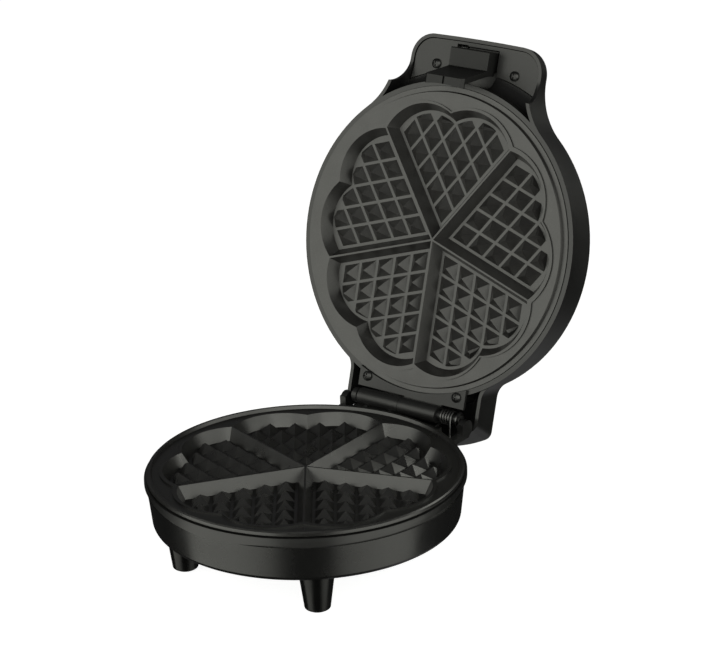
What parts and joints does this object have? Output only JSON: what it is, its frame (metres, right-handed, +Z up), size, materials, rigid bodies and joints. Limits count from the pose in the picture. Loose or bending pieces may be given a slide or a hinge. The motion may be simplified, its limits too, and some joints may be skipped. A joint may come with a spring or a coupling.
{
  "type": "waffle maker",
  "caption": "Round heart waffle maker: a hinged lid and base with cast relief plates, a sprung front latch on the handle and tapered feet.",
  "frame": {"origin": "on the table, under the middle of the whole part's bounding box with the lid open", "axes": "+Z up, +Y towards the hinge at the back, +X to the right seen from the front"},
  "size_m": [0.208, 0.312, 0.2896],
  "materials": {
    "pan_enamel": "satin dark grey enamel",
    "housing": "satin black moulded plastic",
    "nonstick_plate": "dark non-stick coating on cast aluminium",
    "element_steel": "dull steel sheath",
    "bare_aluminium": "bare pressed sheet",
    "screw_steel": "zinc plated",
    "screw_dark": "blackened steel",
    "control_body": "ceramic-like moulding",
    "terminal_plastic": "natural nylon",
    "grommet": "matt black rubber",
    "foot_plastic": "gloss black",
    "hinge_steel": "satin grey plated steel",
    "spring_wire": "bright drawn wire",
    "lens_red": "clear red",
    "lens_green": "clear green",
    "handle_plastic": "fine-grained dark grey plastic",
    "latch_plastic": "satin dark grey plastic"
  },
  "bodies": {
    "base": {"base_pan": "pan_enamel", "base_ring": "housing", "lower_plate": "nonstick_plate", "lower_heating_element": "element_steel", "lower_reflector": "bare_aluminium", "lower_spacers": "element_steel", "lower_plate_screws": "screw_steel", "thermostat": "control_body", "thermostat_screws": "screw_steel", "thermal_fuse": "control_body", "terminal_block": "terminal_plastic", "terminal_screw": "screw_steel", "cord_inlet": "grommet", "foot_front_left": "foot_plastic", "foot_front_right": "foot_plastic", "foot_rear_left": "foot_plastic", "foot_rear_right": "foot_plastic", "foot_pads": "grommet", "foot_screws": "screw_steel", "base_hinge_bracket": "hinge_steel", "base_hinge_screws": "screw_steel", "hinge_pin": "hinge_steel", "hinge_pin_clip": "spring_wire", "hinge_spring": "spring_wire"},
    "lid": {"lid_shell": "housing", "lid_top_cover": "housing", "upper_plate": "nonstick_plate", "upper_heating_element": "element_steel", "upper_reflector": "bare_aluminium", "upper_spacers": "element_steel", "upper_plate_screws": "screw_steel", "lamp_holder": "terminal_plastic", "indicator_lens_red": "lens_red", "indicator_lens_green": "lens_green", "lid_hinge_plate": "hinge_steel", "lid_hinge_screws": "screw_dark", "handle_cover": "handle_plastic", "handle_cover_screws": "screw_dark", "latch_pin": "spring_wire", "latch_spring": "spring_wire"},
    "latch": {"latch_hook": "latch_plastic"}
  },
  "joints": [
    {"name": "lid_hinge", "type": "hinge", "parent": "base", "child": "lid", "pos_m": [0, 0.05717, 0.0612], "axis": [1, 0, 0], "range_deg": [0, 106.6], "deforming": ["hinge_spring"]},
    {"name": "latch_pivot", "type": "hinge", "parent": "lid", "child": "latch", "pos_m": [0, 0.14996, 0.28147], "axis": [1, 0, 0], "range_deg": [-12, 2.4], "stiffness_Nm_per_rad": 0.3, "deforming": ["latch_spring"]}
  ]
}
